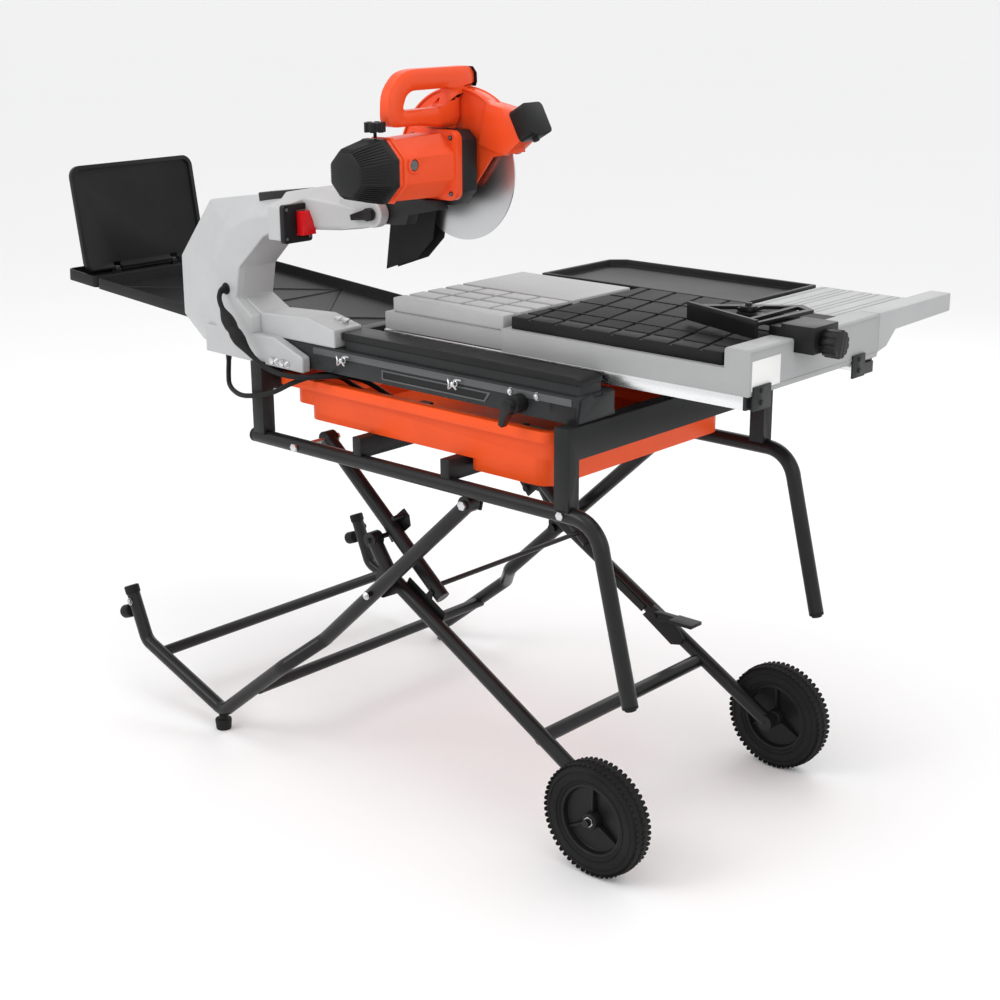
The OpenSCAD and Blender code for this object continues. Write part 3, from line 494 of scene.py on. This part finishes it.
# ---------------------------------------------------------------- stand
def wheel(node_tyre, node_hub, body):
    """Treaded tyre on a spoked hub, with the axle's nut."""
    low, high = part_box(node_tyre)
    cx, cz = (low.x + high.x) / 2 * PER_METRE, (low.z + high.z) / 2 * PER_METRE
    y0, y1 = low.y * PER_METRE, high.y * PER_METRE
    mid, half, outer = (y0 + y1) / 2, (y1 - y0) / 2, (high.z - low.z) / 2 * PER_METRE
    axis = (0, 1, 0)
    side = 1 if mid > 0 else -1

    def hoop(profile):
        """Rings round the axle through (distance along it, radius) pairs."""
        return [[(cx + r * math.sin(t), mid + s, cz + r * math.cos(t)) for s, r in profile]
                for t in (2 * math.pi * k / WHEEL_SIDES for k in range(WHEEL_SIDES))]

    crown = [(-half + 6, outer - 42), (-half + 2, outer - 38), (-half, outer - 26), (-half + 1.5, outer - 14),
             (-half + 6, outer - 7), (-half + 12, outer - 3.4), (0, outer - 2.2), (half - 12, outer - 3.4),
             (half - 6, outer - 7), (half - 1.5, outer - 14), (half, outer - 26), (half - 2, outer - 38),
             (half - 6, outer - 42)]
    tyre = Shape().loft(hoop(crown), closed=True).done("tyre_body")
    lugs = []
    rows = ((-half + 7.5, outer - 6.2, 0.42), (0, outer - 2.8, 0), (half - 7.5, outer - 6.2, -0.42))
    for row, (s, r, tip) in enumerate(rows):
        lug = Shape()
        hexagon = [(math.sin(math.radians(60 * i + 30)) * 5.4, math.cos(math.radians(60 * i + 30)) * 5.9)
                   for i in range(6)]
        rings = []
        for lift, shrink in ((0, 1), (2.5, 0.84)):
            ring = []
            for x, y in hexagon:
                y *= shrink
                ring.append((cx + x * shrink, mid + s + y * math.cos(tip), cz + r + lift - y * math.sin(tip)))
            rings.append(ring)
        lug.loft(rings)
        piece = lug.done("lug")
        if row != 1:
            piece.data.transform(about_y((cx, 0, cz), 3.1))
        lugs.append(repeated(piece, TREAD_BLOCKS, turn=(0, 360 / TREAD_BLOCKS, 0), centre=(cx, 0, cz),
                             material="tyre_rubber"))
    # two fine mould lines on each wall
    for s in (-1, 1):
        for r in (outer - 17, outer - 34):
            ring = [(s * (half - 0.6), r), (s * (half + 0.5), r + 0.6), (s * (half - 0.6), r + 1.4)]
            lugs.append(Shape().loft(hoop(ring), closed=True).done("mould_line"))
    finish_piece(joined(node_tyre + "_treaded", [tyre] + lugs), body, "tyre_rubber", (node_tyre,))
    inner = outer - 40
    hub = Shape()
    rim = [(-18, inner - 6), (-18.5, inner - 1), (-16, inner + 0.4), (16, inner + 0.4), (18.5, inner - 1),
           (18, inner - 6), (7, inner - 9), (3.5, 30), (3.5, 16), (-3.5, 16), (-3.5, 30), (-7, inner - 9)]
    hub.loft(hoop(rim), closed=True)
    hub.turned((cx, mid, cz), axis, [(-23, 9), (-23.5, 12), (-22, 15), (-8, 17), (8, 17), (22, 15), (23.5, 12),
                                     (23, 9)])
    hub = hub.done("hub_disc", 0.0008, 1)
    spokes = []
    for face in (-1, 1):
        spoke = Shape().loft([[(cx + w, mid + face * d, cz + r)
                               for w, d in ((-3.5, 2), (3.5, 2), (2, top), (-2, top))]
                              for r, top in ((14, 15), (inner - 7, 13))])
        spokes.append(repeated(spoke.done("spoke", 0.0008), 3, turn=(0, 120, 0), centre=(cx, 0, cz)))
    finish_piece(joined(node_hub + "_spoked", [hub] + spokes), body, "black_plastic", (node_hub,))
    nut = Shape()
    end = mid + side * 23.5
    nut.turned((cx, end - side * 1, cz), (0, side, 0), [(0, 10), (1.6, 10), (1.6, 7.6), (6.5, 7.6), (7.5, 6.4)], 6)
    nut.turned((cx, end, cz), (0, side, 0), [(0, 4), (8.6, 4), (9.4, 3.2)], 20)
    finish_piece(nut.done(node_hub + "_nut", 0.0003), body, "plain_steel")


def bolts(name, body, spots, material, across, height):
    """Bolt heads with washers at (place, axis) pairs."""
    shape = Shape()
    for place, axis in spots:
        shape.turned(place, axis, [(0, across * 1.25), (1.4, across * 1.25), (1.5, across * 0.9)], 24)
        shape.turned(place, axis, [(0.5, across * 0.95), (height - 0.8, across * 0.95),
                                   (height, across * 0.8)], 6)
        shape.turned(place, axis, [(0.5, across * 0.5), (height + 1.0, across * 0.5),
                                   (height + 1.6, across * 0.36)], 16)
    finish_piece(shape.done(name), body, material)


# ---------------------------------------------------------------- arm
def arm():
    """Cast C-shaped arm with wide sloping bands between its faces."""
    full = [(-640, 816), (-701, 862), (-700, 985), (-596, 1109), (-430, 1133), (-310, 1149), (-306, 1080),
            (-372, 1058), (-440, 994), (-452, 932), (-404, 908), (-404, 816)]
    step = [(-548, 822), (-572, 874), (-564, 984), (-508, 1080), (-414, 1110), (-312, 1126), (-308, 1082),
            (-370, 1060), (-442, 993), (-453, 932), (-406, 905), (-406, 818)]
    near = [(-522, 846), (-516, 884), (-512, 990), (-470, 1066), (-402, 1096), (-318, 1108), (-314, 1086),
            (-366, 1063), (-445, 993), (-457, 932), (-412, 900), (-418, 834)]
    levels = ((-206, full), (-240, full), (-284, step), (-299.5, near))
    shape = Shape().loft([[(x, y, z) for x, z in ring] for y, ring in levels])
    # beam out to the plunge pivot
    beam = []
    for x, y0, z0, z1 in ((-330, -290, 1078, 1148), (-254, -284, 1084, 1162), (-196, -264, 1086, 1154),
                          (-139, -262, 1094, 1149)):
        beam.append([(x, y0, z0 + 8), (x, y0 + 7, z0), (x, -206, z0), (x, -206, z1), (x, y0 + 20, z1),
                     (x, y0, z1 - 18)])
    shape.loft(beam)
    for y0, y1 in ((-262, -240.5), (-211.5, -190)):
        shape.prism([(-190, 1088)] + [(-104 + 25 * math.cos(t), 1125 + 25 * math.sin(t))
                                      for t in (math.radians(-100 + 200 * i / 18) for i in range(19))]
                    + [(-190, 1150)], y0, y1)
    # foot on the base and the tongue down its side
    shape.prism([(-466, 940), (-404, 908), (-268, 915), (-196, 899), (-196, 864), (-466, 864)], -280, -206)
    shape.prism([(-560, 812), (-268, 808), (-268, 838), (-350, 868), (-560, 868)], -299, -278.5)
    # boss behind the switch
    shape.loft([[(-307, -337, 1067), (-271, -337, 1067), (-271, -337, 1131), (-307, -337, 1131)],
                [(-322, -262, 1072), (-262, -262, 1080), (-262, -262, 1146), (-322, -262, 1146)]])
    cast = shape.done("arm_cast", 0.003, 2, 12)
    smooth_by_angle(cast.data, 9)
    finish_piece(cast, STAND, "cast_grey", ("arm_casting",))
    plate = Shape().loft([[(x, y, z) for x, y in ((-420, -262), (-290, -258), (-290, -228), (-420, -228))]
                          for z in (1122, 1147.6)])
    plate = plate.done("arm_inset", 0.002)
    plate.data.transform(about_y((-355, 0, 1146), -7.6))
    finish_piece(plate, STAND, "dark_label")
    grommet = Shape().turned((-486, -296, 948), (0, -1, 0), [(0, 12), (4.5, 12), (6, 10), (6, 5.5), (0, 5.5)], 32)
    finish_piece(grommet.done("arm_grommet", 0.0006), STAND, "black_rubber")
    screws = Shape()
    for z in (1072, 1126):
        for y in (-332, -276):
            screws.turned((-258.2, y, z), (1, 0, 0), [(0, 3.4), (1.4, 3.4), (2.2, 2.2)], 16)
    finish_piece(screws.done("switch_screws"), STAND, "dark_steel")


# ---------------------------------------------------------------- head
def head():
    """Handle, motor end cap, brush caps, guard rim and arbor flange."""
    bx, by, bz = BLADE_X, BLADE_Y, BLADE_Z
    # D handle, rounded all over
    outer = soft_outline([(-345, 1292), (-342, 1352), (-312, 1382), (-284, 1388), (-138, 1388), (-125, 1376),
                          (-125, 1354), (-164, 1354), (-164, 1284), (-216, 1284), (-262, 1292)], 22)
    inner = soft_outline([(-310, 1319), (-298, 1345), (-284, 1352), (-188, 1352), (-200, 1320)], 12)

    def in_order(loop):
        centre = Vector((-245, 1336))
        return sorted(loop, key=lambda p: math.atan2(p[1] - centre.y, p[0] - centre.x))

    count = 72
    outer = evenly_spaced(in_order(evenly_spaced(outer, 240, outer[0])), count, (-345, 1292))
    inner = evenly_spaced(inner, count, (-310, 1319))
    if turning_sense(inner) * turning_sense(outer) < 0:
        inner = [inner[0]] + inner[:0:-1]
    shape = Shape()
    section = ((0.0, 10), (0.16, 15.5), (0.34, 17), (0.66, 17), (0.84, 15.5), (1.0, 10))
    rings = [[(bx - half, *a.lerp(b, inward)) for a, b in zip(outer, inner)] for inward, half in section]
    rings += [[(bx + half, *a.lerp(b, inward)) for a, b in zip(outer, inner)] for inward, half in section[::-1]]
    shape.loft(rings, closed=True)
    finish_piece(shape.done("handle_shell", 0), "head", "orange_plastic", ("head_handle",))
    strip = Shape().loft([[(bx - w, y, z), (bx + w, y, z), (bx + w, y + 3.2, z - 0.4), (bx - w, y + 3.2, z - 0.4)]
                          for w, y, z in ((13, -127, 1352), (16, -126.6, 1360), (16, -127.4, 1376),
                                          (13, -134, 1387))])
    finish_piece(strip.done("handle_end", 0.001), "head", "black_plastic")
    # motor end cap: eight-sided, with long fins down its sloping faces
    mz = bz + MOTOR_RISE

    def octagon(y, r):
        return [(bx + r * math.cos(math.radians(22.5 + 45 * i)), y, mz + r * math.sin(math.radians(22.5 + 45 * i)))
                for i in range(8)]

    cap = Shape().loft([octagon(y, r) for y, r in ((-362.4, 59.8), (-376, 59.2), (-378, 57), (-430, 44),
                                                   (-438, 38.5), (-439, 14))]).done("cap_core", 0.0015)
    fins = []
    for i in range(8):
        a = math.radians(45 * i)
        nx, nz = math.cos(a), math.sin(a)
        tx, tz = -nz, nx
        fin = Shape()
        for k in (-3, -2, -1, 0, 1, 2, 3):
            off, end = k * 6.1, k * 4.7
            fin.loft([[(bx + nx * (r + d) + tx * (o + w), y, mz + nz * (r + d) + tz * (o + w))
                       for w, d in ((-1.7, -4), (1.7, -4), (1.4, 0), (-1.4, 0))]
                      for y, r, o in ((-376, 54.2, off), (-428, 43.2, end), (-437, 38, end * 0.92))])
        fins.append(fin.done("fins", 0.0004, 1))
    finish_piece(joined("motor_cap_finned", [cap] + fins), "head", "black_plastic", ("motor_cap",))
    # chrome brush caps in their dark rings
    for side in (-1, 1):
        ring = Shape().turned((bx + side * 50, -326, bz + 26), (side, 0, 0),
                              [(0, 15), (3.6, 15), (5, 13.4), (5, 10.4), (1, 10.4)])
        finish_piece(ring.done("brush_ring_%d" % side, 0.0005), "head", "orange_plastic")
        brush = Shape().turned((bx + side * 50, -326, bz + 26), (side, 0, 0), [(0, 10), (2.6, 10), (3.8, 8.6)], 32)
        brush.block((bx + side * 54.4 - 0.4, -333, bz + 25.2), (bx + side * 54.4 + 0.4, -319, bz + 26.8))
        finish_piece(brush.done("brush_cap_%d" % side), "head", "dark_steel")
    # raised belt round the barrel
    belt = Shape().loft([octagon(y, r) for y, r in ((-352, 58.6), (-351, 60.6), (-346, 61), (-345, 59))])
    finish_piece(belt.done("barrel_belt", 0.0006), "head", "orange_plastic")
    bolts("motor_bolts", "head", [((bx + sx * 47, -228.2, mz + sz * 49), (0, -1, 0))
                                  for sx in (-1, 1) for sz in (-1, 1)], "dark_steel", 3.6, 4.5)
    # beads along the guard's two rims
    rim = Shape()
    for y in (-162.6, -134.4):
        sweep = [(bx + 145 * math.sin(math.radians(a)), y, bz + 145 * math.cos(math.radians(a)))
                 for a in range(-98, 62, 4)]
        rim.tube(sweep, 2.4, 8)
    finish_piece(rim.done("guard_beads"), "head", "orange_plastic")
    bolts("guard_screws", "head", [((bx - 60, -134.6, bz + 70), (0, 1, 0)), ((bx + 30, -134.6, bz + 96), (0, 1, 0)),
                                   ((bx - 100, -134.6, bz + 16), (0, 1, 0))], "dark_steel", 4, 4)
    flange = Shape().turned((bx, by + 1.2, bz), (0, 1, 0), [(0, 30), (2.4, 22), (3.4, 28), (5.8, 26)], 48)
    flange.turned((bx, by + 6, bz), (0, 1, 0), [(0, 13), (10, 13), (11, 11.6)], 6)
    finish_piece(flange.done("arbor_flange", 0.0005), "blade", "dark_steel")


# ---------------------------------------------------------------- base and table
def base():
    """Strips, windows, blank label, wire hooks and bolts on the base's sides."""
    for side in (-1, 1):
        y = side * 278
        strip = Shape()
        strip.block((-258, min(y, y + side * 1.6), 846), (388, max(y, y + side * 1.6), 859))
        finish_piece(strip.done("side_strip_%d" % side, 0.0008), STAND, "base_light")
        frame_out = [(-70, 823), (190, 823), (204, 842), (-70, 842)]
        frame_in = [(-66, 826), (187, 826), (196, 839), (-66, 839)]
        window = Shape().loft([[(x, y + side * d, z) for x, z in pts] for d, pts in
                               ((0.2, frame_out), (1.8, frame_out), (1.8, frame_in), (0.2, frame_in))], closed=True)
        finish_piece(window.done("window_rim_%d" % side, 0.0005), STAND, "base_light")
        glass = Shape().prism(frame_in, min(y, y + side * 0.5), max(y, y + side * 0.5))
        finish_piece(glass.done("window_floor_%d" % side), STAND, "black_plastic")
    label = Shape().block((339, -279, 820), (397, -277.9, 845))
    finish_piece(label.done("side_label", 0.0003), STAND, "dark_label")
    wires = Shape()
    for x, z in ((-170, 846), (120, 846)):
        wires.tube(curve_points([(x + 15, -283, z + 8), (x + 8, -290, z + 9), (x + 5, -292, z), (x + 10, -290, z - 8),
                                 (x, -288, z - 3), (x - 8, -290, z - 9), (x - 5, -293, z), (x - 10, -290, z + 8),
                                 (x - 16, -284, z + 5)]), 1.7, 8)
        wires.turned((x, -279, z), (0, -1, 0), [(0, 6), (3, 6), (4, 4.6), (12, 4.6), (13, 3)], 20)
    finish_piece(wires.done("wire_clips"), STAND, "plain_steel", ("cable_hooks",))
    bolts("base_bolts", STAND, [((-342, -299, 822), (0, -1, 0)), ((-312, -299, 820), (0, -1, 0)),
                                           ((250, -278, 852), (0, -1, 0)), ((310, -278, 852), (0, -1, 0))],
          "plain_steel", 6, 5)


def trays():
    """Raised cross lines on the floors of the rear trays, which slope with the trays."""
    turn = Matrix.Translation(mm(-407, 0, 824)) @ Matrix.Rotation(math.radians(4.2), 4, "Y")
    ribs = Shape()
    floor, top = -14.4, -11.4

    def rib(x0, y0, x1, y1, half=5.0):
        way = (Vector((x1, y1)) - Vector((x0, y0))).normalized()
        side = Vector((-way.y, way.x))
        ring = []
        for p in (Vector((x0, y0)), Vector((x1, y1))):
            ring.append([(*(p + side * w), z) for w, z in ((-half, floor), (half, floor), (half * 0.5, top),
                                                           (-half * 0.5, top))])
        ribs.loft(ring)

    for x0, x1 in ((-680, -360), (-340, -20)):
        rib(x0, -140, x1, 245)
        rib(x0, 245, x1, -140)
    rib(-350, -155, -350, 262, 4)
    rib(-680, 52, -20, 52, 2.4)
    piece = ribs.done("tray_ribs", 0.0008)
    piece.data.transform(turn)
    finish_piece(piece, STAND, "black_plastic")


def table():
    """Blank label, wall beads, mat seams and the ribbed far wing."""
    label = Shape().block((689.8, -194, 904), (690.6, -112, 954))
    finish_piece(label.done("table_label", 0.0003), "table", "label_white")
    groove = Shape()
    for z in (904, 966):
        groove.block((689.6, -196, z), (690.9, 196, z + 1.8))
    finish_piece(groove.done("wall_beads", 0.0005), "table", "table_grey")
    seams = Shape()
    for y in (-90, 0, 90):
        seams.block((176, y - 1.5, 958.6), (624, y + 1.5, 961.4))
    finish_piece(seams.done("mat_seams", 0.0004), "table", "black_rubber")
    # far wing: four ribbed panels and its turned-down front wall
    panel = Shape().block((413, 201.5, 940.2), (469, 457, 953.6)).done("panel", 0.0016)
    wing = repeated(panel, 4, step=(58.6, 0, 0), material="pad_grey")
    line = Shape().block((426, 208, 953), (428, 452, 954.6)).done("line", 0.0005)
    lines = repeated(line, 8, step=(29.3, 0, 0), material="pad_grey")
    skirt = Shape().loft([[(x, y, z) for y, z in ((201.3, 904), (230, 910), (260, 936), (457.6, 940), (457.6, 973.6),
                                                  (201.3, 973.6))] for x in (648, 689.8)]).done("skirt", 0.002)
    floor = Shape().block((413, 202, 940.2), (650, 457, 951.5)).done("under", 0.001)
    finish_piece(joined("far_wing", [wing, lines, skirt, floor]), "table", "pad_grey",
                 ("side_extension",))


def stand():
    """Plated bolt heads of the legs."""
    heads = []
    for side in (-1, 1):
        heads += [((-104, side * 303.4, 393.2), (0, side, 0)), ((-805, side * 356, 222), (0, side, 0)),
                  ((-511, side * 341, 56.5), (0, 0, 1))]
    bolts("leg_bolts", "foot_legs", heads, "plain_steel", 6.5, 4.5)


# ---------------------------------------------------------------- leads
SUPPLY = [
    (-560, -240, 806), (-560, -241, 797), (-556, -246, 777), (-541, -260, 759), (-514, -281, 747),
    (-472, -304, 743), (-422, -323, 745), (-372, -328, 754), (-324, -326, 768), (-290, -316, 786),
    (-268, -300, 797), (-254, -276, 803), (-249, -246, 800), (-247, -216, 788), (-245, -190, 770),
    (-240, -166, 754), (-232, -146, 739), (-214, -128, 730), (-190, -116, 727), (-160, -112, 726),
]
LEAD = [
    (-486, -294, 948), (-486, -304, 948), (-482, -318, 943), (-470, -330, 930), (-448, -337, 908),
    (-422, -340, 882), (-394, -341, 856), (-362, -340, 833), (-328, -336, 816), (-292, -330, 808),
    (-256, -318, 806), (-224, -296, 808), (-206, -268, 807), (-196, -238, 801), (-180, -208, 787),
    (-148, -188, 764), (-98, -176, 742), (-40, -170, 728), (30, -166, 722), (90, -165, 718),
    (149.8, -165, 717),
]


def lead(name, node, route):
    """Free lead as a round curve through its route."""
    line = curve_points(route)
    data = bpy.data.curves.new(name, "CURVE")
    data.dimensions = "3D"
    data.bevel_depth = LEAD_DIAMETER * MM / 2
    data.bevel_resolution = 4
    data.use_fill_caps = True
    spline = data.splines.new("POLY")
    spline.points.add(len(line) - 1)
    for point, p in zip(spline.points, line):
        point.co = (*mm(*p), 1)
    obj = bpy.data.objects.new(name, data)
    bpy.context.scene.collection.objects.link(obj)
    finish_piece(obj, STAND, "black_rubber", (node,))


def sleeve(name, route, start, radii):
    """Moulded piece round a lead, from one point of its route on."""
    line = curve_points(route)[start:start + len(radii)]
    shape = Shape().tube(line, radii, 20)
    return finish_piece(shape.done(name, 0), STAND, "black_rubber")


def leads():
    """Supply lead down to its plug in the tub, and the pump's lead with its connector."""
    relief = sleeve("supply_relief", SUPPLY, 1, [8.5, 8.4, 8.2, 7.6, 7.4, 6.8, 6.6, 6.0, 5.8, 5.4])
    plug = eased("supply_plug", 0.003)
    lead("supply_lead", "supply_cord", SUPPLY)
    relief = sleeve("lead_relief", LEAD, 3, [9, 8.8, 8.2, 8, 7.4, 7.2, 6.6, 6.4, 5.8, 5.4])
    body = sleeve("lead_joint", LEAD, 22, [5.6, 7, 9, 11, 12.4, 13, 13, 13, 11.4, 11.4, 13.2, 13.2, 13.2, 12.6, 11,
                                           9.5, 8, 7, 6, 5.6])
    lead("pump_lead", "inline_lead", LEAD)


# ---------------------------------------------------------------- build
# width in metres by which each of these CAD shapes has its edges rounded
EASED = {
    "deck_frame": 0.0015, "tub_bearers": 0.0015, "tube_caps": 0.002, "rubber_feet": 0.003, "tail_bumpers": 0.003,
    "latch_plates": 0.001, "foot_pedal": 0.0015, "slide_collars": 0.001, "stand_bolts": 0.0006, "release_bar": 0.001,
    "base_boxes": 0.0015, "base_end_plates": 0.0006, "roller_covers": 0.0015, "table_lock": 0.002,
    "water_tub": 0.0025, "drain_plug": 0.0015, "pump": 0.003,
    "arm_back_cover": 0.001, "switch_box": 0.0015, "rocker": 0.0012,
    "head_bracket": 0.002, "pivot_lever": 0.0015, "motor_housing": 0.003,
    "gearbox": 0.004, "stop_knob": 0.0015, "blade_guard": 0.003, "laser_module": 0.004,
    "splash_flaps": 0.001, "table_tray": 0.0025, "table_pads": 0.002, "rubber_mat": 0.0012, "table_rails": 0.0006,
    "rail_brackets": 0.0008, "far_tray": 0.002, "guide_clamp": 0.003, "guide_knob": 0.0015,
    "angle_guide": 0.0012, "rear_trays": 0.003, "splash_panel": 0.0015,
}
PAINT = {
    "saw_blade": "blade_steel", "latch_rod": "frame_paint", "slide_collars": "black_plastic",
    "base_boxes": "base_paint",
}
studio()
camera()
wheel("near_tyre", "near_hub", "near_wheel")
wheel("far_tyre", "far_hub", "far_wheel")
stand()
arm()
head()
base()
trays()
table()
leads()
for node, width in EASED.items():
    eased(node, width, PAINT.get(node))
for node, obj in NODES.items():
    if not obj.hide_render:
        obj.data.materials.clear()
        obj.data.materials.append(MATERIALS[PAINT.get(node, SLOT_OF[node])])
        smooth_by_angle(obj.data)
